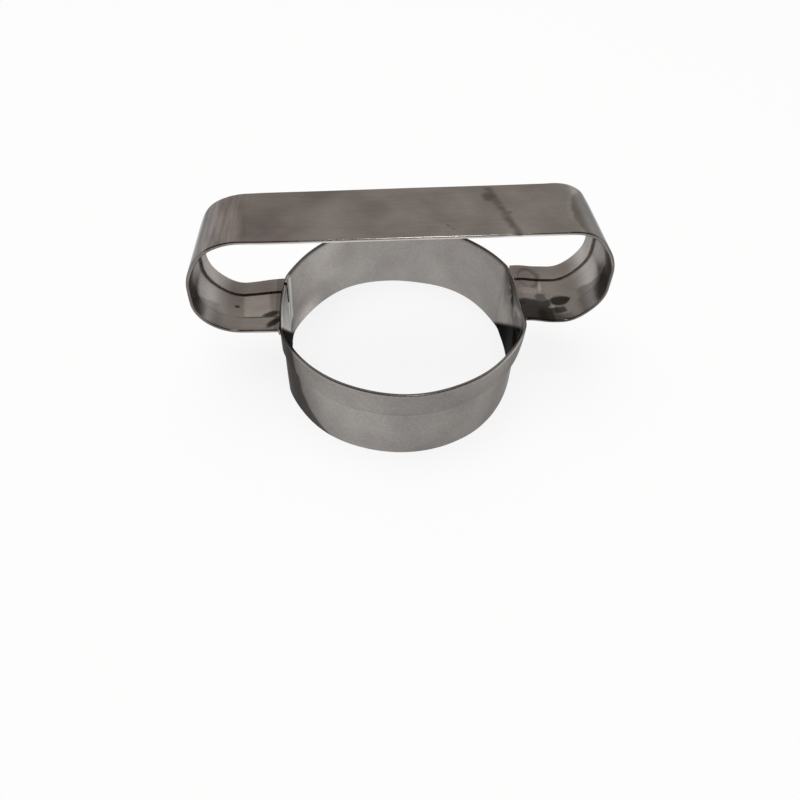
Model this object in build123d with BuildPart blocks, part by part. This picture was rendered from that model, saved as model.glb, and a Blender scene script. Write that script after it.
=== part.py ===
from build123d import *
import os
from math import sqrt

# A hand biscuit cutter in folded sheet steel: a round cutting ring with a strap handle
# that loops over it from side to side. Millimetres, +Z up. The origin is the centre of
# the ring on the plane of its cutting edge, and the handle runs along X.

# Cutting ring, one strip rolled round
ring_diameter = 76.0  # outside of the plain wall
ring_height = 26.3  # cutting edge to rim
ring_sheet = 0.5
ring_hem_depth = 8.0  # leaf folded down outside the rim
hem_gap = 0.1  # air left inside a flattened fold

# Lap seam of the ring, on the flat behind the left tab
seam_gap = 0.3  # slit between the ends of the strip, seen from inside
seam_inset = 3.5  # slit from the rear corner of the flat
lap_length = 8.0  # tongue that runs on outside the other end
jog_length = 0.6  # step where the tongue leaves the wall
lap_clearance = 0.3  # tongue below the hem leaf

# Handle strap, one strip bent to a long flat loop
strap_width = 23.4  # over both hemmed edges
strap_sheet = 0.5
strap_hem_width = 6.0  # each edge folded in on the inside of the loop
flange_run = 9.85  # straight of each flange, from the tab's face to the loop's lower corner
end_run = 5.6  # straight of each end of the loop, between its two corners
rim_stand = 1.2  # rim above the lower face of the flanges
top_corner_radius = 15.8
bottom_corner_radius = 12.3
tab_bend_radius = 1.0  # inside of the bend from flange to tab
tab_length = 5.8  # flat of the tab, below its bend
tab_corner_radius = 4.6
hem_setback = 0.4  # hem leaves stop short of the tab bend

# Spot welds
weld_diameter = 4.0  # nuggets that hold the tabs
weld_pitch = 12.0  # between the two nuggets of a tab
seam_weld_diameter = 3.0
seam_weld_count = 3
dent_depth = 0.1  # hollow that the electrodes leave at each end of a nugget

# Worked out from the sizes above
ring_radius = ring_diameter / 2
flat_distance = sqrt(ring_radius**2 - (strap_width / 2) ** 2)  # axis to the outside of a flat
ring_fold_radius = ring_sheet + hem_gap / 2
ring_hem_face = hem_gap + ring_sheet  # outside of the hem leaf, beyond the wall
strap_fold_radius = strap_sheet + hem_gap / 2
strap_fold_depth = 2 * strap_fold_radius
flange_level = ring_height - rim_stand
top_level = flange_level + bottom_corner_radius + end_run + top_corner_radius
tab_face = flat_distance + ring_hem_face + strap_sheet
loop_end = tab_face + flange_run + bottom_corner_radius  # axis to the outside of the loop's end
tab_foot = flange_level - tab_bend_radius - tab_length
weld_level = tab_foot + tab_length / 2
seam_place = strap_width / 2 - seam_inset
tongue_height = ring_height - ring_hem_depth - lap_clearance
fold_round_share = 0.98  # share of a fold's half thickness that is rounded


def ring_plan(offset):
    """Outline of the ring from above, moved outward by offset: a circle with two flat sides."""
    with BuildSketch(mode=Mode.PRIVATE) as plan:
        Circle(ring_radius + offset)
        Rectangle(2 * (flat_distance + offset), 2 * (ring_radius + offset), mode=Mode.INTERSECT)
    return plan.sketch


def ring_band(inner_offset, outer_offset, low, high):
    """Adds a band of the ring between two outlines and two levels to the part being built."""
    with BuildSketch(Plane.XY.offset(low)) as band:
        add(ring_plan(outer_offset))
        add(ring_plan(inner_offset), mode=Mode.SUBTRACT)
    extrude(band.sketch, amount=high - low)


def left_flat_plate(inner_offset, outer_offset, front, rear, low, high, mode=Mode.ADD):
    """Adds or cuts a flat plate that lies along the ring's left flat."""
    with BuildSketch(Plane.XY.offset(low)) as plate:
        with Locations((-flat_distance - (inner_offset + outer_offset) / 2, (front + rear) / 2)):
            Rectangle(outer_offset - inner_offset, rear - front)
    extrude(plate.sketch, amount=high - low, mode=mode)


def tab_weld_spots(radius):
    """Draws the two nuggets of a tab on a plane that looks along X."""
    with Locations((0, weld_level)):
        with GridLocations(weld_pitch, 0, 2, 1):
            Circle(radius)


def seam_weld_spots(radius):
    """Draws the column of nuggets of the lap seam on a plane that looks along X."""
    with Locations((seam_place - lap_length / 2, tongue_height / 2)):
        with GridLocations(0, tongue_height / seam_weld_count, 1, seam_weld_count):
            Circle(radius)


with BuildPart() as cutting_ring:
    # Wall, hem leaf outside it and the fold that joins them at the rim
    fold_base = ring_height - ring_fold_radius
    ring_band(-ring_sheet, 0, 0, fold_base)
    ring_band(hem_gap, ring_hem_face, ring_height - ring_hem_depth, fold_base)
    ring_band(-ring_sheet, ring_hem_face, fold_base, ring_height)
    rim = cutting_ring.faces().sort_by(Axis.Z)[-1]
    fillet(rim.edges(), radius=ring_fold_radius * fold_round_share)
    # Slit between the two ends of the strip, open through wall and hem
    left_flat_plate(
        -2 * ring_sheet,
        ring_hem_face + ring_sheet,
        seam_place - seam_gap / 2,
        seam_place + seam_gap / 2,
        0,
        ring_height,
        mode=Mode.SUBTRACT,
    )
    # Tongue of the rear end, stepped out over the front end, and the step itself
    seam_rear = seam_place + seam_gap / 2
    left_flat_plate(
        hem_gap, ring_hem_face, seam_place - lap_length, seam_rear + jog_length, 0, tongue_height
    )
    left_flat_plate(-ring_sheet, ring_hem_face, seam_rear, seam_rear + jog_length, 0, tongue_height)
    # Seats of the nuggets, through both walls for the tabs and through the left one for the seam
    with BuildSketch(Plane.YZ):
        tab_weld_spots(weld_diameter / 2)
    extrude(amount=ring_diameter, both=True, mode=Mode.SUBTRACT)
    with BuildSketch(Plane.YZ):
        seam_weld_spots(seam_weld_diameter / 2)
    extrude(amount=-ring_diameter, mode=Mode.SUBTRACT)
cutting_ring.part.label = "cutting_ring"


def mirrored_path(right_half):
    """Points of a path that is the same on both sides, from its left end to its right end."""
    left_half = [(-x, z) for x, z in right_half]
    return left_half + right_half[::-1]


def sheet_path(inset):
    """Loop and tabs of the plain sheet, at a depth below the strap's outer face."""
    right_half = [
        (tab_face - inset, tab_foot),
        (tab_face - inset, flange_level + inset),
        (loop_end - inset, flange_level + inset),
        (loop_end - inset, top_level - inset),
    ]
    radii = [tab_bend_radius + inset, bottom_corner_radius - inset, top_corner_radius - inset]
    return mirrored_path(right_half), radii + radii[::-1]


def hem_path(inset):
    """Loop alone, where the edges are hemmed, at a depth below the strap's outer face."""
    right_half = [
        (tab_face + tab_bend_radius + hem_setback, flange_level + inset),
        (loop_end - inset, flange_level + inset),
        (loop_end - inset, top_level - inset),
    ]
    radii = [bottom_corner_radius - inset, top_corner_radius - inset]
    return mirrored_path(right_half), radii + radii[::-1]


def strap_band(path, outer_inset, inner_inset, front, rear):
    """Adds a layer of the strap between two depths and two places across its width."""
    with BuildSketch(Plane.XZ.offset(-rear)) as layer:
        with BuildLine():
            outer_points, outer_radii = path(outer_inset)
            inner_points, inner_radii = path(inner_inset)
            outer = FilletPolyline(*outer_points, radius=outer_radii)
            inner = FilletPolyline(*inner_points, radius=inner_radii)
            Line(outer @ 0, inner @ 0)
            Line(outer @ 1, inner @ 1)
        make_face()
    extrude(layer.sketch, amount=rear - front)


with BuildPart() as handle_strap:
    # Folded edges first, front and rear, so that they can be rounded
    half_width = strap_width / 2
    fold_line = half_width - strap_fold_radius
    strap_band(hem_path, 0, strap_fold_depth, -half_width, -fold_line)
    strap_band(hem_path, 0, strap_fold_depth, fold_line, half_width)
    long_edges = handle_strap.edges().filter_by(lambda edge: edge.length > 2 * strap_fold_depth)
    edge_groups = long_edges.group_by(Axis.Y)
    fillet(edge_groups[0] + edge_groups[-1], radius=strap_fold_radius * fold_round_share)
    # Plain sheet, which runs on into the two tabs, then the hem leaves inside the loop
    strap_band(sheet_path, 0, strap_sheet, -fold_line, fold_line)
    hem_line = half_width - strap_hem_width
    leaf_top = strap_sheet + hem_gap
    strap_band(hem_path, leaf_top, strap_fold_depth, -fold_line, -hem_line)
    strap_band(hem_path, leaf_top, strap_fold_depth, hem_line, fold_line)
    # Rounded lower corners of the tabs
    foot_corners = handle_strap.edges().filter_by(Axis.X).group_by(Axis.Z)[0]
    fillet(foot_corners, radius=tab_corner_radius)
    # Seats of the nuggets
    with BuildSketch(Plane.YZ):
        tab_weld_spots(weld_diameter / 2)
    extrude(amount=tab_face + tab_bend_radius, both=True, mode=Mode.SUBTRACT)
handle_strap.part.label = "handle_strap"

# Nuggets of the tabs, from the inner face of the ring wall to the outer face of the tab
tab_weld_inner = flat_distance - ring_sheet + dent_depth
tab_weld_outer = tab_face - dent_depth

with BuildPart() as right_tab_welds:
    with BuildSketch(Plane.YZ.offset(tab_weld_inner)):
        tab_weld_spots(weld_diameter / 2)
    extrude(amount=tab_weld_outer - tab_weld_inner)
right_tab_welds.part.label = "right_tab_welds"

with BuildPart() as left_tab_welds:
    with BuildSketch(Plane.YZ.offset(-tab_weld_outer)):
        tab_weld_spots(weld_diameter / 2)
    extrude(amount=tab_weld_outer - tab_weld_inner)
left_tab_welds.part.label = "left_tab_welds"

# Nuggets of the lap seam, from the inner face of the wall to the outer face of the tongue
seam_weld_inner = flat_distance - ring_sheet + dent_depth
seam_weld_outer = flat_distance + ring_hem_face - dent_depth

with BuildPart() as ring_seam_welds:
    with BuildSketch(Plane.YZ.offset(-seam_weld_outer)):
        seam_weld_spots(seam_weld_diameter / 2)
    extrude(amount=seam_weld_outer - seam_weld_inner)
ring_seam_welds.part.label = "ring_seam_welds"

os.makedirs("parts", exist_ok=True)
export_step(cutting_ring.part, "parts/cutting_ring.step")
export_step(handle_strap.part, "parts/handle_strap.step")
export_step(left_tab_welds.part, "parts/left_tab_welds.step")
export_step(right_tab_welds.part, "parts/right_tab_welds.step")
export_step(ring_seam_welds.part, "parts/ring_seam_welds.step")
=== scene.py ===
from math import acos, cos, pi, radians, sin

import bpy
from mathutils import Matrix, Vector


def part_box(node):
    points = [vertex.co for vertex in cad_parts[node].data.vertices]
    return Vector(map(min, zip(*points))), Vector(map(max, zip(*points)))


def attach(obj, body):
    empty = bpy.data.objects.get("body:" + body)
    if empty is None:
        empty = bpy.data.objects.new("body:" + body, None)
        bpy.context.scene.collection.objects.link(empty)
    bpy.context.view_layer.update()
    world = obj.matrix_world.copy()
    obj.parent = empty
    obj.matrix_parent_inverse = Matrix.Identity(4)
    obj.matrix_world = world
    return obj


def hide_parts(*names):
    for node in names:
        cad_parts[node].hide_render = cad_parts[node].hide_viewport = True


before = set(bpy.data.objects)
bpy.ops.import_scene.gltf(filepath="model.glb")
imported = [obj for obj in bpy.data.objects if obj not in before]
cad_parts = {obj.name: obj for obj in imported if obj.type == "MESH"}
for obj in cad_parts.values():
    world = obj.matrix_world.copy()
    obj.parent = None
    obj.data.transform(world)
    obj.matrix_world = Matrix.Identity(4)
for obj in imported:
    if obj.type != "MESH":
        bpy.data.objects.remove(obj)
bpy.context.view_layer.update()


# Cutting ring
# One strip of stainless sheet, folded outward along its upper edge, rolled round and closed by a
# lap seam. Where the handle sits the wall is pressed flat. Its finish is satin, straight from the mill.

MM = 0.001  # a millimetre in metres

ring_low, ring_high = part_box("cutting_ring")
ring_sheet = 0.5 * MM
ring_hem_gap = 0.1 * MM
ring_fold = ring_sheet + ring_hem_gap / 2
ring_inside = ring_high[1] - 2 * ring_fold  # radius of the inner face
flat_inside = ring_high[0] - 2 * ring_fold  # axis to the inner face of a flat
ring_height = ring_high[2] - ring_low[2]
ring_hem_depth = 8.0 * MM
flat_corner = 12.0 * MM
seam_place = 8.2 * MM
seam_gap = 0.3 * MM
seam_wedge = 1.3 * MM  # how much wider the seam stands open at the foot of the hem
lap_length = 8.0 * MM
jog_length = 0.9 * MM
tongue_height = ring_height - ring_hem_depth - 0.3 * MM
weld_pitch = 12.0 * MM
weld_level = 21.2 * MM
weld_reach = 2.3 * MM
weld_depth = 0.07 * MM
flat_zone = 30.0 * MM  # the two flats lie further out along X than this
wedge_length = 4.0 * MM  # the seam's wedge fades out over this much of the strip
ring_waves = 28.0  # lumps of the uneven sheet, for each metre
rim_zone = (6.0 * MM, 25.0 * MM)  # heights between which the shape of the edge turns into that of the rim
# Dents left round the right tab, in mm: place along y and z, reach, how far they stand out.
rough_places = [(-1.0, 20.5, 3.2, -0.25), (-9.5, 15.5, 3.0, 0.25), (3.5, 23.5, 2.2, 0.2)]
# How far the rolled strip is out of round, in mm: angle from the front, top edge, bottom edge.
out_of_round = [
    (-180, -0.6, 0.1), (-155, -0.8, 0.8), (-130, -1.1, -0.2), (-113, -0.95, -0.25), (-90, 0.0, -0.25),
    (-72, -0.4, -0.2), (-55, -0.3, 0.0), (-40, -0.3, 0.35), (-20, -0.3, 0.3), (0, -0.05, 0.3),
    (20, -0.1, 0.2), (35, 0.15, 0.0), (50, 0.25, -0.6), (68, 0.5, -1.0), (77, 0.05, -0.5), (90, 0.0, 0.2),
    (105, 0.1, -0.2), (113, 0.0, -0.55), (130, -0.45, 0.2), (145, -0.6, 0.45), (165, -0.6, -0.2),
    (180, -0.6, 0.1),
]


class Value:
    """A socket that can be used in sums: each operator adds the Math node that it stands for."""

    def __init__(self, tree, socket=None):
        self.tree = tree
        self.socket = socket

    def node(self, kind, settings=None, inputs=None, output=0):
        """Adds any other node: its settings first, then its sockets. Gives one of its outputs."""
        made = self.tree.nodes.new(kind)
        for key, setting in (settings or {}).items():
            if key == "spread":
                made.color_ramp.interpolation = setting
            elif key == "stops":
                ramp = made.color_ramp
                while len(ramp.elements) < len(setting):
                    ramp.elements.new(1.0)
                for element, (place, colour) in zip(ramp.elements, setting):
                    element.position = place
                    element.color = colour
            else:
                setattr(made, key, setting)
        for key, value in (inputs or {}).items():
            if isinstance(value, Value):
                self.tree.links.new(value.socket, made.inputs[key])
            else:
                made.inputs[key].default_value = value
        return Value(self.tree, made.outputs[output])

    def math(self, operation, *values):
        return self.node("ShaderNodeMath", {"operation": operation}, dict(enumerate(values)))

    def clamp(self, low, high):
        return self.math("MINIMUM", self.math("MAXIMUM", self, low), high)

    def smooth(self, low, high):
        """0 below low, 1 above high, and a smooth step between."""
        limits = {"Value": self, "From Min": low, "From Max": high}
        return self.node("ShaderNodeMapRange", {"interpolation_type": "SMOOTHSTEP"}, limits)

    def __add__(self, other):
        return self.math("ADD", self, other)

    def __sub__(self, other):
        return self.math("SUBTRACT", self, other)

    def __rsub__(self, other):
        return self.math("SUBTRACT", other, self)

    def __mul__(self, other):
        return self.math("MULTIPLY", self, other)

    def __truediv__(self, other):
        return self.math("DIVIDE", self, other)

    def __lt__(self, other):
        return self.math("LESS_THAN", self, other)

    def __gt__(self, other):
        return self.math("GREATER_THAN", self, other)

    __radd__ = __add__
    __rmul__ = __mul__


def new_tree(name, sizes):
    """A Geometry Nodes tree with a named input for each size, and the values of those inputs."""
    tree = bpy.data.node_groups.new(name, "GeometryNodeTree")
    tree.interface.new_socket("Geometry", in_out="OUTPUT", socket_type="NodeSocketGeometry")
    for label in sizes:
        tree.interface.new_socket(label, in_out="INPUT", socket_type="NodeSocketFloat")
    entry = tree.nodes.new("NodeGroupInput")
    return tree, {label: Value(tree, entry.outputs[label]) for label in sizes}


def walk(step, start, heading, runs):
    """Follows straight runs and bends: (steps, length) or (steps, radius, turn), turn left if positive.

    Gives the place after a number of steps, the heading there and the length gone by.
    """
    place = [start[0], start[1]]
    gone = 0.0
    turned = 0.0
    begun = 0
    for steps, size, *turn in runs:
        share = (step - begun).clamp(0, steps) / steps
        if turn:
            bend = turn[0]
            radius = size * (1 if bend > 0 else -1)
            angle = share * bend + heading
            place[0] = place[0] + radius * (angle.math("SINE", angle) - sin(heading))
            place[1] = place[1] - radius * (angle.math("COSINE", angle) - cos(heading))
            turned = share * bend + turned
            gone = share * size * abs(bend) + gone
            heading = heading + bend
        else:
            place[0] = place[0] + share * size * cos(heading)
            place[1] = place[1] + share * size * sin(heading)
            gone = share * size + gone
        begun += steps
    return place, turned, gone


def two_lengths(root, way, stops, most=2.0):
    """Two lengths that change along a way from 0 to 1, given as (place, first, second), in mm.

    They are held as the red and green of a colour ramp, so neither can pass most.
    """
    colours = [(place, (0.5 + one / most / 2, 0.5 + two / most / 2, 0.0, 1.0)) for place, one, two in stops]
    ramp = root.node("ShaderNodeValToRGB", {"spread": "CARDINAL", "stops": colours}, {0: way})
    return [(root.node("ShaderNodeSeparateXYZ", None, {0: ramp}, part) - 0.5) * (2 * most * MM)
            for part in (0, 1)]


def count(runs):
    return sum(run[0] for run in runs)


def sheet_grid(root, columns, rows):
    """A plain grid whose columns run along a strip and whose rows run across it, and both numbers."""
    sizes = {"Size X": columns, "Size Y": rows, "Vertices X": columns + 1, "Vertices Y": rows + 1}
    grid = root.node("GeometryNodeMeshGrid", None, sizes)
    position = root.node("GeometryNodeInputPosition")
    column = root.node("ShaderNodeSeparateXYZ", None, {0: position}, 0) + columns / 2
    row = root.node("ShaderNodeSeparateXYZ", None, {0: position}, 1) + rows / 2
    return grid, column, row


def finish_strip(root, grid, place, cut, along, across, material):
    """Bends the grid to its place, keeps its flat pattern as a UV map, notches it and ends the tree."""
    pattern = root.node("ShaderNodeCombineXYZ", None, {0: along, 1: across})
    settings = {"data_type": "FLOAT2", "domain": "CORNER"}
    stored = {"Geometry": grid, "Name": "flat_pattern", "Value": pattern}
    laid = root.node("GeometryNodeStoreNamedAttribute", settings, stored)
    notch = {"Geometry": laid, "Selection": cut}
    notched = root.node("GeometryNodeDeleteGeometry", {"domain": "FACE"}, notch)
    bent = root.node("GeometryNodeSetPosition", None, {"Geometry": notched, "Position": place})
    smooth = root.node("GeometryNodeSetShadeSmooth", None, {"Geometry": bent, "Shade Smooth": True})
    real = root.node("GeometryNodeRealizeInstances", None, {"Geometry": smooth})
    done = root.node("GeometryNodeSetMaterial", None, {"Geometry": real, "Material": material})
    exit_node = root.tree.nodes.new("NodeGroupOutput")
    root.tree.links.new(done.socket, exit_node.inputs[0])


def noise(root, vector, scale, detail=2.0, kind="3D"):
    """Noise about zero, from -0.5 to 0.5 at most."""
    sizes = {"Vector": vector, "Scale": scale, "Detail": detail}
    return root.node("ShaderNodeTexNoise", {"noise_dimensions": kind}, sizes) - 0.5


def spot(first, second, at, reach, start=0.62, end=1.15):
    """1 in a round spot about a place, 0 outside it, with a shoulder from start to end of its reach."""
    apart = first - at[0]
    beside = second - at[1]
    distance = apart.math("SQRT", apart * apart + beside * beside)
    return 1 - distance.smooth(reach * start, reach * end)


def build_strip(name, tree, sizes, sheet, sharp_angle=40):
    """Runs a tree on an empty mesh, gives the sheet its thickness and returns one plain piece."""
    draft = bpy.data.objects.new(name + "_draft", bpy.data.meshes.new(name + "_draft"))
    bpy.context.collection.objects.link(draft)
    bend = draft.modifiers.new("bend", "NODES")
    bend.node_group = tree
    for item in tree.interface.items_tree:
        if item.in_out == "INPUT":
            bend[item.identifier] = sizes[item.name]
    wall = draft.modifiers.new("wall", "SOLIDIFY")
    wall.thickness = sheet
    wall.offset = 0.0
    wall.use_even_offset = True
    graph = bpy.context.evaluated_depsgraph_get()
    mesh = bpy.data.meshes.new_from_object(draft.evaluated_get(graph))
    mesh.name = name
    bpy.data.objects.remove(draft)
    mesh.set_sharp_from_angle(angle=radians(sharp_angle))
    piece = bpy.data.objects.new(name, mesh)
    bpy.context.collection.objects.link(piece)
    return piece


def between(value, low, high, soft):
    """1 between two limits, 0 outside them, with soft edges."""
    return value.smooth(low - soft, low + soft) * (1 - value.smooth(high - soft, high + soft))


def oval(root, first, second, at, half, turn=0.0, edge=0.3):
    """1 inside a turned oval, 0 outside it."""
    one = first - at[0]
    two = second - at[1]
    long = (one * cos(turn) + two * sin(turn)) / half[0]
    short = (two * cos(turn) - one * sin(turn)) / half[1]
    return 1 - (long * long + short * short).smooth(1 - edge, 1 + edge)


def steel(name, dark, pale, edge, roughness, grain, texture, marks):
    """Bare stainless sheet: soft clouds of two tones, the grain of rolling, the marks of its making
    and painted reflections and shade.

    grain is how often the grain changes in a metre along the strip and across it, and texture how
    strong its mottle is. marks() says how much darker or lighter each place is, from its marks and
    from painted reflections and shade, how much of the pale tone it has and how much rougher it is.
    """
    material = bpy.data.materials.new(name)
    material.use_nodes = True
    tree = material.node_tree
    tree.nodes.clear()
    root = Value(tree)
    place = root.node("ShaderNodeTexCoord", None, None, "Object")
    flat = root.node("ShaderNodeUVMap", {"uv_map": "flat_pattern"})
    faces = root.node("ShaderNodeNewGeometry", None, None, "Normal")
    clouds = noise(root, place, 70.0)
    mottle = noise(root, place, 1300.0, 3.0)
    drawn = root.node("ShaderNodeVectorMath", {"operation": "MULTIPLY"}, {0: flat, 1: grain})
    lines = noise(root, drawn, 1.0, 4.0)
    tone, share, rougher = marks(root, place, faces, clouds)
    tone = tone * (1 + lines * 0.3 + mottle * texture)
    mixed = root.node("ShaderNodeMix", {"data_type": "RGBA"}, {"Factor": share, 6: dark, 7: pale}, 2)
    shade = root.node("ShaderNodeCombineColor", None, {0: tone, 1: tone, 2: tone})
    shaded = {"Factor": 1.0, 6: mixed, 7: shade}
    colour = root.node("ShaderNodeMix", {"data_type": "RGBA", "blend_type": "MULTIPLY"}, shaded, 2)
    relief = {"Strength": 0.1, "Distance": 0.02 * MM, "Height": lines + mottle * 0.4}
    surface = root.node("ShaderNodeBsdfPrincipled", None, {
        "Base Color": colour,
        "Metallic": 1.0,
        "Specular Tint": (edge, edge, edge, 1.0),
        "Roughness": clouds * 0.14 + lines * 0.08 + rougher * 0.2 + roughness,
        "Normal": root.node("ShaderNodeBump", None, relief),
    })
    end = tree.nodes.new("ShaderNodeOutputMaterial")
    tree.links.new(surface.socket, end.inputs["Surface"])
    return material


def parts(root, vector):
    return [root.node("ShaderNodeSeparateXYZ", None, {0: vector}, number) for number in range(3)]


def marked(tone, changes):
    """Lightens a tone by each share, or darkens it where the share is negative, as far as its mask goes."""
    for mask, change in changes:
        tone = tone * (1 + mask * change)
    return tone


def ring_marks_and_light(root, place, faces, clouds):
    """The marks of the ring and its painted reflections and shade, placed by the angle from the front in
    degrees and by the height in mm.
    """
    x, y, z = parts(root, place)
    face_x, face_y, _ = parts(root, faces)
    turn = root.math("ARCTAN2", x, y * -1) * (180 / pi)
    sideways = root.math("ABSOLUTE", turn)
    level = z / MM
    outside = (face_x * x + face_y * y).smooth(-2.0 * MM, 2.0 * MM)
    inside = 1 - outside
    # Painted reflections of what the wall mirrors: a dark band on the left, dark feet inside, broad
    # lighter and darker parts outside and lighter patches inside.
    band_edge = root.math("EXPONENT", level / -7) * 22 - 58
    band = outside * (turn - band_edge + clouds * 6).smooth(1.5, -1.5) * turn.smooth(-95, -80)
    right_foot = inside * ((111 - turn) * 0.58 - level).smooth(-1.2, 1.2) * turn.smooth(45, 60)
    left_foot = inside * ((110 + turn) * 0.7 - level).smooth(-1.2, 1.2) * turn.smooth(-45, -60)
    far_side = outside * turn.smooth(15, 65) * turn.smooth(170, 110)
    bright = outside * between(turn, -45, -12, 14)
    middle = outside * between(turn, -5, 30, 15)
    corner = inside * between(turn, -132, -98, 9) * level.smooth(9, 1)
    rear_left = inside * between(turn, -150, -112, 8) * level.smooth(5, 12)
    # The hem, its lower edge and the rim: painted shade just under the hem's lower edge, the hem a
    # little darker, and painted dark reflections along the rim at the sides and the rear.
    hem_line = outside * between(level, 17.3, 17.8, 0.2)
    hem = outside * level.smooth(18.1, 18.4)
    rear_rim = inside * level.smooth(24.6, 25.8) * sideways.smooth(60, 100)
    rim = level.smooth(25.75, 26.05) * sideways.smooth(72, 95)
    # The two flats from inside, creased where the handle was welded on. Painted reflections: the left
    # flat lighter, the right one lighter below a slanting line, with a painted dark streak and a painted
    # gleam above it.
    depth = y / MM
    left_flat = inside * between(turn, -110, -68, 2) * level.smooth(6, 9)
    right_flat = inside * between(turn, 74, 107, 2)
    below_slant = (18.4 + (depth + 3.2) * 0.73 + clouds * 6 - level).smooth(-0.8, 0.8)
    above_slant = right_flat * (1 - below_slant)
    dark_reflection = oval(root, depth + clouds * 8, level, (2.2, 23.6), (6.0, 1.5), 0.2, 0.7)
    gleam = oval(root, depth, level + clouds * 6, (-6.0, 23.6), (3.8, 1.3), -0.5, 0.9)
    # Painted shade between the sheets, seen through the slit of the seam.
    cut_edge = (x < -34.0 * MM) * (face_y < -0.6)
    leaf_back = (x < -35.3 * MM) * (face_x > 0.5)
    between_sheets = root.math("MAXIMUM", leaf_back, cut_edge)
    slit = between(depth, 6.8, 9.4, 0.1) * level.smooth(17.0, 17.5) * between_sheets
    tone = marked(1 + clouds * 0.5, (
        (band, -0.54), (right_foot, -0.9), (left_foot, -0.9), (far_side, 0.75), (bright, 0.12),
        (middle, -0.16), (corner, 0.65), (rear_left, 0.35),
        (hem_line, -0.3), (hem, -0.1), (rear_rim, -0.3), (rim, -0.4),
        (left_flat * (1 - left_foot), 2.6), (right_flat * below_slant * (1 - right_foot), 0.55),
        (above_slant * dark_reflection, -0.6), (above_slant * gleam, 0.5), (slit, -0.93),
    ))
    return tone, clouds * 2 + 0.5, right_flat * 0.5 + left_foot * 2.5


ring_steel = steel(
    "ring_steel",
    dark=(0.31, 0.285, 0.272, 1.0),
    pale=(0.32, 0.307, 0.29, 1.0),
    edge=0.3,
    roughness=0.3,
    grain=(5000.0, 500.0, 1.0),
    texture=0.45,
    marks=ring_marks_and_light,
)

ring_labels = ["Flat", "Flat corner", "Inside radius", "Front lap", "Rear lap", "Jog", "Lap", "Wall", "Fold",
               "Leaf", "Unevenness", "Dent"]
ring_tree, size = new_tree("rolled_ring", ring_labels)
root = Value(ring_tree)
corner_turn = acos((flat_inside - flat_corner) / (ring_inside - flat_corner))
half_flat = (ring_inside - flat_corner) * sin(corner_turn)
ring_runs = [
    (46, size["Front lap"]),
    (14, size["Flat corner"], corner_turn),
    (170, size["Inside radius"], pi - 2 * corner_turn),
    (14, size["Flat corner"], corner_turn),
    (50, size["Flat"]),
    (14, size["Flat corner"], corner_turn),
    (170, size["Inside radius"], pi - 2 * corner_turn),
    (14, size["Flat corner"], corner_turn),
    (4, size["Rear lap"]),
    (4, size["Jog"]),
    (20, size["Lap"]),
]
wall_rows = 52
ring_section = [(wall_rows, size["Wall"]), (8, size["Fold"], pi), (12, size["Leaf"])]
grid, column, row = sheet_grid(root, count(ring_runs), count(ring_section))
plan, turned, along = walk(column, (-flat_inside, seam_place - seam_gap / 2), radians(-90), ring_runs)
section, _, across = walk(row, (0.0, ring_sheet / 2), 0.0, ring_section)
height, depth = section
tongue_start = count(ring_runs[:9])
tongue = (column - tongue_start).smooth(0, 4)
cut = (column > tongue_start) * (height > tongue_height)
depth = depth + tongue * (ring_sheet + ring_hem_gap)
heading = turned + radians(-90)
outward = (root.math("SINE", heading), root.math("COSINE", heading) * -1)
face = root.node("ShaderNodeCombineXYZ", None, {0: plan[0], 1: plan[1], 2: height})
wavy = noise(root, face, ring_waves, 1.0) * size["Unevenness"]
on_wall = row < wall_rows + 0.5
on_right = plan[0] > flat_zone
on_left = plan[0] < -flat_zone
dents = 0.0
for side in (-1, 1):
    dents = spot(plan[1], height, (side * weld_pitch / 2, weld_level), weld_reach) + dents
dents = dents * on_wall * (on_right + on_left) * size["Dent"]
rough_dents = 0.0
for beside, level, reach, rise in rough_places:
    rough_dents = spot(plan[1], height, (beside * MM, level * MM), reach * MM) * (rise * MM) + rough_dents
rough_dents = rough_dents * on_right * on_wall
push = depth + wavy + dents + rough_dents
x = plan[0] + outward[0] * push
y = plan[1] + outward[1] * push
gape = (ring_height - height) / ring_hem_depth * seam_wedge * (height > tongue_height)
y = y - gape * (1 - along / wedge_length).clamp(0, 1)
angle = root.math("ARCTAN2", x, y * -1)
stops = [(turn / 360 + 0.5, top, bottom) for turn, top, bottom in out_of_round]
at_top, at_bottom = two_lengths(root, angle / (2 * pi) + 0.5, stops)
upper = height.smooth(*rim_zone)
swell = at_top * upper + at_bottom * (1 - upper)
swell = 1 + swell / root.math("SQRT", x * x + y * y)
bent = root.node("ShaderNodeCombineXYZ", None, {0: x * swell, 1: y * swell, 2: height})
finish_strip(root, grid, bent, cut, along, across, ring_steel)
ring_sizes = {
    "Flat": 2 * half_flat,
    "Flat corner": flat_corner,
    "Inside radius": ring_inside,
    "Front lap": half_flat + seam_place - seam_gap / 2,
    "Rear lap": half_flat - seam_place - seam_gap / 2 - jog_length,
    "Jog": jog_length,
    "Lap": lap_length,
    "Wall": ring_height - ring_fold,
    "Fold": (ring_sheet + ring_hem_gap) / 2,
    "Leaf": ring_hem_depth - ring_fold,
    "Unevenness": 0.35 * MM,
    "Dent": weld_depth,
}
cutting_ring = build_strip("ring_strip", ring_tree, ring_sizes, ring_sheet)
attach(cutting_ring, "root")
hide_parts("cutting_ring")


# Handle strap
# A second strip of the same sheet, both edges folded in on the inside of the loop. It is bent round to
# a long flat loop, and its plain ends are turned down outside the ring as tabs.

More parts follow.
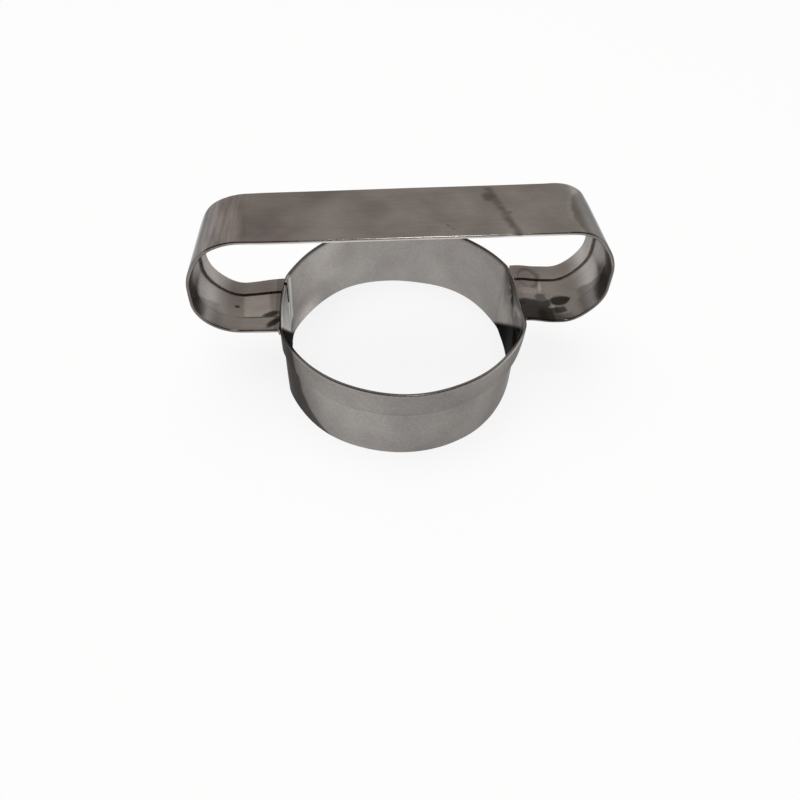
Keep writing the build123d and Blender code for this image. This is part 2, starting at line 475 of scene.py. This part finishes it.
strap_low, strap_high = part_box("handle_strap")
strap_sheet = 0.5 * MM
strap_hem_gap = 0.1 * MM
strap_fold = strap_sheet + strap_hem_gap / 2
strap_width = strap_high[1] - strap_low[1]
strap_hem = 6.0 * MM
lower_corner = 12.3 * MM
upper_corner = 15.8 * MM
tab_bend = 0.1 * MM
tab_face = ring_high[0] + strap_sheet
tab_length = 6.7 * MM
flange_level = strap_low[2] + tab_length + tab_bend
loop_end = strap_high[0]
top_level = strap_high[2]
tab_corner = 4.6 * MM
tab_neck = 2.4 * MM  # how much narrower than the strap a tab is, on each side
strap_taper = 0.6  # share of its width that the strap gains for each metre to the right
strap_waves = 30.0  # lumps of the uneven sheet, for each metre
flange_zone = 40.0 * MM  # the flanges and ends lie further out along X than this
end_zone = 50.0 * MM  # and the ends further than this
bend_span = 120.0  # length along X that strap_bend goes over, in mm
# How the bent strap departs from its true profile, in mm: place along x, lift, more of it at the rear edge.
strap_bend = [
    (-60, 0.0, 0.0), (-55, -0.05, -0.15), (-51, -0.4, -0.55), (-47, -0.45, -0.55), (-42, -0.3, -0.15),
    (-38, -0.1, 0.15), (0, 0.0, 0.0), (38, 1.0, 0.5), (43, 0.25, 0.65), (48, -0.2, 0.6),
    (52, -0.45, 0.25), (56, 0.0, 0.0), (60, 0.0, 0.0),
]


def strap_marks_and_light(root, place, faces, clouds):
    """The marks of the strap and its painted reflections and shade. All places are in mm, and ovals lie
    in plan, seen from above.
    """
    x, y, z = [part / MM for part in parts(root, place)]
    face_x, _, face_z = parts(root, faces)
    warp = noise(root, place, 450.0)
    out = root.math("ABSOLUTE", x)
    aside = root.math("ABSOLUTE", y)
    across = aside / (1 + x * MM * strap_taper)
    upward = face_z.smooth(-0.2, 0.2)
    top = upward * z.smooth(50, 54)
    flange = upward * (1 - z.smooth(30, 34))
    left = flange * (x < 0)
    right = flange * (x > 0)
    inner = (face_x * x).smooth(10, -10)
    outer = 1 - inner
    # The long smudge across the top, with its head and its spur, and two small specks.
    streak = x - 25.3 - (10.5 - y) * 0.21 + warp * 1.2
    tail = between(streak, -1.0, 1.0, 1.0) * (y < 10.6) * (0.85 + warp * 1.5)
    head = oval(root, x + warp * 2, y, (25.2, 6.0), (2.0, 2.3), 0.0, 1.0)
    spur = oval(root, x + warp * 2, y, (28.3, -2.4), (1.7, 0.8), 0.5, 0.9) * 0.7
    smudge = root.math("MAXIMUM", root.math("MAXIMUM", tail, head), spur)
    specks = (oval(root, x, y, (11.6, -6.9), (0.9, 0.35), -0.9, 0.5)
              + oval(root, x, y, (13.0, -8.6), (0.8, 0.3), -0.4, 0.5))
    # The corners of the top, where the sheet starts to bend, and the ends below them, all painted
    # reflections: a darker facet at the right corner with a light line beside it, darker outer sides of the
    # ends, light and dark streaks, a glow and a shadow at the left, and a sheen in the middle of the top.
    fold_place = x - 47.0 - (y + 4.5) * (y + 4.5) * 0.025 + warp * 2
    facet = fold_place.smooth(-0.4, 0.4) * outer * z.smooth(42, 50)
    facet_line = between(fold_place, -1.6, -0.5, 0.3) * between(y, -6, 7, 2)
    right_side = outer * x.smooth(53, 58) * z.smooth(40, 48)
    left_side = outer * x.smooth(-51, -56) * z.smooth(32, 40)
    drawn_out = root.node("ShaderNodeCombineXYZ", None, {0: x * 0.9, 1: y * 0.07, 2: z * 0.07})
    pleats = noise(root, drawn_out, 1.0) * x.smooth(-38, -48)
    glow = oval(root, x, y, (-47.2, -3.0), (3.2, 8.0), 0.15, 0.9)
    sheen = oval(root, x, y, (8.0, 0.0), (12.0, 14.0), 0.0, 0.9)
    shadow = oval(root, x, y, (-39.5, 0.0), (5.5, 10.0), 0.0, 0.9)
    # The left flange, with painted reflections: a light patch, a dimmer strip and two dark patches, a
    # painted dark line along the front hem's edge, and a dark speck.
    patch = between(x + y * 0.1 + warp, -47.6, -39.8, 0.7) * between(y, -4.8, 5.4, 0.6)
    dim_strip = between(x, -52.0, -47.6, 1.2)
    speck = oval(root, x, y, (-49.6, -0.1), (0.8, 0.6), 0.0, 0.5)
    front_line = between(y, -5.95, -5.45, 0.15) * x.smooth(-50, -46) + between(y, -5.9, -5.5, 0.15) * 0.4
    wing = oval(root, x, y + warp, (-39.3, -4.0), (2.6, 1.1), 0.35, 0.7)
    hook = oval(root, x + warp * 2, y + warp, (-38.0, -8.0), (2.9, 1.1), 0.75, 0.7)
    # The right flange, dented where its tab was bent down and welded. The dents are painted, as the
    # dark and light reflections that they give.
    ragged_x = x + warp * 2.5
    ragged_y = y + warp * 1.5
    field = between(ragged_x, 30, 46.2, 0.7) * (1 - ragged_y.smooth(-3.4, -2.2))
    low_field = (1 - ragged_y.smooth(-10.2, -8.8)) * (1 - ragged_x.smooth(49, 53))
    dome = oval(root, ragged_x, ragged_y, (43.6, -1.8), (1.8, 1.6), 0.0, 0.5)
    eye_half = (1.25 - (x - 49.2) * (x - 49.2) * 0.1).clamp(0.1, 1.2)
    eye = between((y + 3.4) / eye_half, -1.7, 1.7, 0.6) * between(x, 45.9, 52.4, 0.4)
    lid = oval(root, ragged_x, ragged_y, (48.0, -7.8), (2.7, 1.3), 0.0, 0.6)
    sliver = oval(root, x, y, (45.9, -6.4), (1.3, 0.5), 0.2, 0.7)
    ripple = (oval(root, ragged_x, ragged_y, (41.4, 6.3), (3.7, 4.2), 0.0, 0.35)
              - oval(root, ragged_x, ragged_y, (40.8, 6.0), (2.7, 3.0), 0.0, 0.4))
    lump = oval(root, ragged_x, ragged_y, (40.5, 1.2), (2.8, 1.9), 0.0, 0.8)
    crescent = oval(root, x, y, (44.3, 3.0), (0.55, 2.8), -0.15, 0.7)
    # Painted dark reflections on the ends of the loop, which mirror the dark inside of the other end.
    reach = inner * z.smooth(27, 29) * z.smooth(48, 45)
    left_end = reach * (x < -50) * (y + 8.8 - (44.7 - z) * 0.46 + warp * 1.5).smooth(0.5, -0.5)
    right_end = reach * (x > 50) * (y + 7.5 - (43.5 - z) * 0.42 + warp * 1.5).smooth(0.5, -0.5)
    # The folded edges, the bare edges of the leaves and of the tabs, and the seam behind the left tab:
    # painted dark reflections on the folds of the ends and on the tab edges, painted highlights along the
    # top's folds and under its front fold, painted light on the leaf edges, and painted shade in the notch
    # by the ring's rim and in the seam.
    fold = across.smooth(11.15, 11.5)
    end_fold = fold * out.smooth(40, 47)
    top_fold = fold * (1 - end_fold)
    under_fold = top_fold * face_z.smooth(0.1, -0.3) * z.smooth(57, 58)
    leaf_line = between(across, 5.5, 5.9, 0.12) * inner * (1 - top)
    tab_edge = aside.smooth(9.5, 10.5) * z.smooth(25.0, 24.4)
    notch = between(out, 35.9, 38.1, 0.2) * between(z, 24.6, 26.5, 0.3)
    slit = between(y, 6.8, 9.4, 0.1) * between(z, 17.8, 26.0, 0.2) * (x < 0) * z.smooth(24.9, 24.3) * inner
    brushed = root.node("ShaderNodeCombineXYZ", None, {0: x * 0.06, 1: y * 1.5, 2: z * 0.1})
    brush = noise(root, brushed, 1.0, 3.0)
    tone = marked(1 + clouds * 0.45 + brush * 0.22, (
        (end_fold, -0.4), (tab_edge, -0.6), (notch, -0.3), (slit, -0.9), (top_fold, 0.1), (under_fold, 1.6),
        (leaf_line, 0.6), (left_end, -0.35), (right_end, -0.45),
        (facet, -0.32), (right_side, -0.22), (left_side, -0.2),
        (top * smudge, -0.38), (top * specks, -0.28), (top * facet_line, 0.12), (top * sheen, 0.1),
        (top * pleats, 1.1), (top * glow, 0.4), (top * shadow, -0.15),
        (left * patch, 0.5), (left * dim_strip, -0.1), (left * speck, -0.75), (left * front_line, -0.5),
        (left * wing, -0.82), (left * hook, -0.85),
        (right * field * (1 - dome), -0.76), (right * low_field * (1 - field), -0.45), (right * dome, -0.5),
        (right * eye * (1 - field), -0.86), (right * lid * (1 - low_field) * (1 - field), -0.74),
        (right * sliver, 0.7), (right * ripple, -0.4), (right * lump, 0.25), (right * crescent, 0.55),
    ))
    # More of the pale tone on the top and towards its right end, a painted lightening; the smudge keeps only
    # the dark tone.
    share = (clouds * 1.6 + x * top * 0.005 + top * 0.1 + 0.32) * (1 - smudge)
    return tone, share, inner * out.smooth(49, 54) * 0.5 + leaf_line * 2.5


def hump(value, start, full, fall, end):
    """Rises from 0 at start to 1 at full, and falls again from fall to end, all given in mm."""
    return value.smooth(start * MM, full * MM) * (1 - value.smooth(fall * MM, end * MM))


strap_steel = steel(
    "strap_steel",
    dark=(0.335, 0.298, 0.288, 1.0),
    pale=(0.45, 0.437, 0.405, 1.0),
    edge=0.5,
    roughness=0.17,
    grain=(300.0, 5000.0, 1.0),
    texture=0.12,
    marks=strap_marks_and_light,
)

strap_labels = ["Tab", "Tab bend", "Flange", "Lower corner", "End", "Upper corner", "Top", "Width", "Fold",
                "Leaf", "Unevenness", "Dent"]
strap_tree, size = new_tree("bent_strap", strap_labels)
root = Value(strap_tree)
quarter = radians(90)
tab_columns = 14
tab_steps = [(tab_columns, size["Tab"]), (8, size["Tab bend"], quarter)]
half_loop = [
    (20, size["Flange"]),
    (36, size["Lower corner"], -quarter),
    (10, size["End"]),
    (44, size["Upper corner"], -quarter),
]
strap_runs = tab_steps + half_loop + [(120, size["Top"])] + half_loop[::-1] + tab_steps[::-1]
hem_section = [(8, size["Leaf"]), (8, size["Fold"], pi)]
strap_section = hem_section + [(44, size["Width"])] + hem_section[::-1]
grid, column, row = sheet_grid(root, count(strap_runs), count(strap_section))
profile, turned, along = walk(column, (-tab_face, strap_low[2]), quarter, strap_runs)
leaf_edge = (-(strap_width / 2 - strap_hem), 1.5 * strap_sheet + strap_hem_gap)
section, _, across = walk(row, leaf_edge, pi, strap_section)
width, depth = section
heading = turned + quarter
inward = (root.math("SINE", heading), root.math("COSINE", heading) * -1)
face = root.node("ShaderNodeCombineXYZ", None, {0: profile[0], 1: width, 2: profile[1]})
wavy = noise(root, face, strap_waves, 1.0) * size["Unevenness"]
# The hems stop just short of the end of each tab's bend, and the tabs are necked, with round corners.
last = count(strap_runs)
hem_stop = count(tab_steps) - 2
in_tab = (column < hem_stop) + (column > last - hem_stop)
in_hem = (row < count(hem_section)) + (row > count(strap_section) - count(hem_section))
cut = in_tab * in_hem
foot = column.math("MINIMUM", column, last - column) / tab_columns * tab_length
round_off = root.math("MAXIMUM", tab_corner - foot, 0)
drawn_in = tab_corner - root.math("SQRT", tab_corner * tab_corner - round_off * round_off)
drawn_in = drawn_in + tab_neck * (1 - foot.smooth(tab_length * 0.8, tab_length * 1.4))
width = width * (1 - drawn_in / (strap_width / 2 - strap_fold))
dents = 0.0
for side in (-1, 1):
    dents = spot(width, profile[1], (side * weld_pitch / 2, weld_level), weld_reach) + dents
dents = dents * (in_tab > 0.5) * size["Dent"]
push = depth + wavy + dents
x = profile[0] + inward[0] * push
z = profile[1] + inward[1] * push
side = width / (strap_width / 2)
rear = side.smooth(0.35, 1.0)
stops = [(place / bend_span + 0.5, lift, twist) for place, lift, twist in strap_bend]
lift, twist = two_lengths(root, x / (bend_span * MM) + 0.5, stops)
flex = (lift + twist * side) * hump(z, 19, 24, 30, 48)
# How the ends lean out and draw in, and how the strap is pressed to the ring. Plain numbers here are mm.
lean = (x > flange_zone) * (side * 0.4 + 0.5) - (x < -flange_zone) * (0.18 - side * 0.33)
waist = (x < -end_zone) * (side * 0.3 + 0.4) - (x > end_zone) * 0.1
press = (x < 0) * (rear * 0.7 + 0.45) - (x > 0) * (rear * 0.4 + 0.4)
near_ring = (1 - root.math("ABSOLUTE", x).smooth(38 * MM, 42 * MM)) * z.smooth(23.5 * MM, 25 * MM)
shift = lean * hump(z, 24, 38, 38, 54) + waist * hump(z, 41, 50, 50, 58) + press * near_ring * (z < 27.5 * MM)
# The top sags a little, and its corners are bent differently.
shoulder = x.smooth(42 * MM, 50 * MM) * z.smooth(52 * MM, 56 * MM) * 0.4
elbow = x.smooth(-46 * MM, -54 * MM) * z.smooth(49 * MM, 56 * MM) * 0.45
shrug = x.smooth(-36 * MM, -48 * MM) * z.smooth(48 * MM, 55 * MM) * (0.05 - side * 0.2)
sag = z.smooth(46 * MM, 56 * MM) * 0.2
bent = root.node("ShaderNodeCombineXYZ", None, {
    0: x + (shift + shoulder - elbow) * MM,
    1: width * (1 + x * strap_taper),
    2: z + flex + (shoulder + shrug - sag) * MM,
})
finish_strip(root, grid, bent, cut, along, across, strap_steel)
strap_sizes = {
    "Tab": tab_length,
    "Tab bend": tab_bend,
    "Flange": loop_end - lower_corner - tab_face - tab_bend,
    "Lower corner": lower_corner,
    "End": top_level - upper_corner - flange_level - lower_corner,
    "Upper corner": upper_corner,
    "Top": 2 * (loop_end - upper_corner),
    "Width": strap_width - 2 * strap_fold,
    "Fold": (strap_sheet + strap_hem_gap) / 2,
    "Leaf": strap_hem - strap_fold,
    "Unevenness": 0.35 * MM,
    "Dent": weld_depth,
}
handle_strap = build_strip("strap_strip", strap_tree, strap_sizes, strap_sheet)
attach(handle_strap, "root")
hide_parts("handle_strap")


# Spot welds
# The fused spots that hold the tabs and close the lap seam, a little hollow where the electrodes pressed.


def weld_marks(root, place, faces, clouds):
    """Nothing but the clouds."""
    return clouds + 1, clouds + 0.5, clouds * 0.5


weld_steel = steel(
    "weld_steel",
    dark=(0.28, 0.26, 0.25, 1.0),
    pale=(0.38, 0.36, 0.34, 1.0),
    edge=0.6,
    roughness=0.36,
    grain=(900.0, 900.0, 1.0),
    texture=0.3,
    marks=weld_marks,
)
for node in ("left_tab_welds", "right_tab_welds", "ring_seam_welds"):
    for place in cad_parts[node].material_slots:
        place.material = weld_steel


# Floor
# A plain white floor. Most of its brightness is its own, so that it stays pale round the object and in
# the steel, and still keeps the object's shadow.

floor_half = 4.0
own_light = 0.85  # share of the floor's brightness that is its own
white = (1.0, 1.0, 1.0, 1.0)
floor_mesh = bpy.data.meshes.new("floor")
floor_corners = [(-1, -1), (1, -1), (1, 1), (-1, 1)]
floor_mesh.from_pydata([(x * floor_half, y * floor_half, 0.0) for x, y in floor_corners], [], [(0, 1, 2, 3)])
floor = bpy.data.objects.new("floor", floor_mesh)
bpy.context.collection.objects.link(floor)
floor_paint = bpy.data.materials.new("floor_paint")
floor_paint.use_nodes = True
floor_paint.node_tree.nodes.clear()
root = Value(floor_paint.node_tree)


def seen_directly(root):
    """1 for what the camera sees, straight or by way of a mirror or a pane, and 0 for light that scatters."""
    rays = [root.node("ShaderNodeLightPath", None, None, kind)
            for kind in ("Is Camera Ray", "Is Glossy Ray", "Is Transmission Ray")]
    return (rays[0] + rays[1] + rays[2]).clamp(0, 1)


matt = root.node("ShaderNodeBsdfDiffuse", None, {"Color": (0.93, 0.93, 0.93, 1.0)})
shining = root.node("ShaderNodeEmission", None, {"Color": white, "Strength": 1.0})
mixed = root.node("ShaderNodeMixShader", None, {0: seen_directly(root) * own_light, 1: matt, 2: shining})
floor_end = floor_paint.node_tree.nodes.new("ShaderNodeOutputMaterial")
floor_paint.node_tree.links.new(mixed.socket, floor_end.inputs["Surface"])
floor_mesh.materials.append(floor_paint)


# Studio
# A white room, dimmer above and behind, and dark where the photographer stands over the object.

world = bpy.data.worlds.new("studio")
world.use_nodes = True
world.node_tree.nodes.clear()
bpy.context.scene.world = world
root = Value(world.node_tree)
aim = root.node("ShaderNodeTexCoord", None, None, "Generated")
aim_x, aim_y, aim_z = parts(root, aim)
behind = aim_y.smooth(-0.2, 0.2)
above = aim_z.smooth(0.02, 0.4)
beside = root.math("ABSOLUTE", aim_x).smooth(0.8, 0.98)
over_front = (0.05, 0.047, 0.045, 1.0)
over_rear = (0.46, 0.43, 0.405, 1.0)
ceiling = {"Factor": behind, 6: over_front, 7: over_rear}
ceiling = root.node("ShaderNodeMix", {"data_type": "RGBA"}, ceiling, 2)
room = {"Factor": above * (1 - beside), 6: white, 7: ceiling}
room = root.node("ShaderNodeMix", {"data_type": "RGBA"}, room, 2)
camera_ray = root.node("ShaderNodeLightPath", None, None, "Is Camera Ray")
room = root.node("ShaderNodeMix", {"data_type": "RGBA"}, {"Factor": camera_ray, 6: room, 7: white}, 2)
background = root.node("ShaderNodeBackground", None, {"Color": room, "Strength": 1.0})
world_end = world.node_tree.nodes.new("ShaderNodeOutputWorld")
world.node_tree.links.new(background.socket, world_end.inputs["Surface"])


def round_lamp(name, place, width, power, mirrored):
    """A round lamp that shines at the object. mirrored says whether the steel shows the lamp itself."""
    data = bpy.data.lights.new(name, "AREA")
    data.shape = "DISK"
    data.size = width
    data.energy = power
    lamp = bpy.data.objects.new(name, data)
    lamp.location = place
    lamp.rotation_euler = Vector(place).to_track_quat("Z", "Y").to_euler()
    lamp.visible_glossy = mirrored
    bpy.context.collection.objects.link(lamp)


round_lamp("soft_light", (-0.2, 0.1, 1.6), width=1.4, power=17.5, mirrored=False)
round_lamp("ceiling_lamp", (0.16, -0.62, 1.35), width=0.34, power=2.4, mirrored=True)


# Camera
# Where the photographer held it: above the front edge, aimed down at the ring.

camera_place = Vector((-0.01479, -0.14908, 0.16598))
camera_aim = Vector((-0.00059, -0.00503, 0.03))
camera_roll = radians(1.51)
camera_data = bpy.data.cameras.new("camera")
camera_data.lens = 29.94
camera_data.sensor_width = 36.0
camera_data.shift_y = -0.125
camera_data.clip_start = 0.01
camera = bpy.data.objects.new("camera", camera_data)
camera.location = camera_place
turn = (camera_aim - camera_place).to_track_quat("-Z", "Y").to_matrix() @ Matrix.Rotation(camera_roll, 3, "Z")
camera.rotation_euler = turn.to_euler()
bpy.context.collection.objects.link(camera)
bpy.context.scene.camera = camera
bpy.context.scene.view_settings.view_transform = "Standard"
